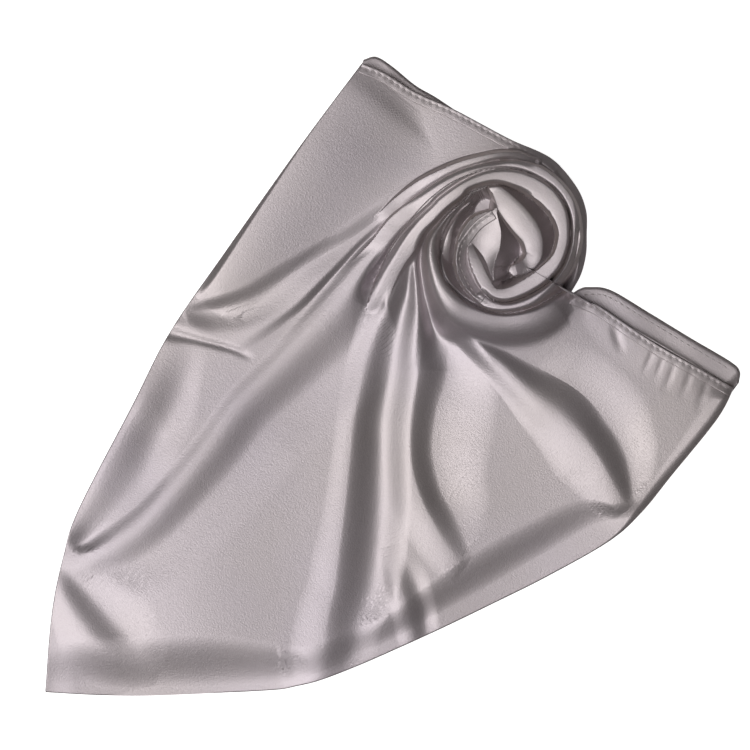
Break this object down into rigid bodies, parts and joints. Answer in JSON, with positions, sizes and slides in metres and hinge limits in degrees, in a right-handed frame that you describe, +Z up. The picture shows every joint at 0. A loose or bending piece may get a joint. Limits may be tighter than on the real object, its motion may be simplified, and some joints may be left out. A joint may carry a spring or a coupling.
{
  "type": "square scarf",
  "caption": "Square satin scarf folded in quarters and laid flat, its hemmed loose corners twisted together into a low spiral rosette, with soft folds fanning out of it.",
  "frame": {"origin": "centre of the bounding box seen from above, on the surface that the folded scarf lies on", "axes": "+X along the longer side of the folded scarf's outline, towards the end of the right hem; +Y across it in the plane of the surface, towards the top folded corner; +Z up, out of the surface"},
  "size_m": [0.3892, 0.3597, 0.028],
  "materials": {
    "satin": "satin-faced crepe, soft sheen, fine grain",
    "satin_inner": "the same cloth where it is folded under, less light on it"
  },
  "bodies": {
    "root": {"back_layer_right": "satin_inner", "back_layer_top": "satin_inner", "corner_stretch": "satin", "inner_stretch": "satin", "left_stretch": "satin", "long_fold_stretch": "satin", "lower_stretch": "satin", "middle_fold_stretch": "satin", "outer_wall": "satin", "right_hem": "satin", "right_stretch": "satin", "rim_stretch": "satin", "ring_main": "satin", "ring_outer": "satin", "side_stretch": "satin", "tongue_hem": "satin", "tongue_stretch": "satin", "top_hem": "satin", "under_layers": "satin_inner", "upper_stretch": "satin"}
  },
  "joints": []
}
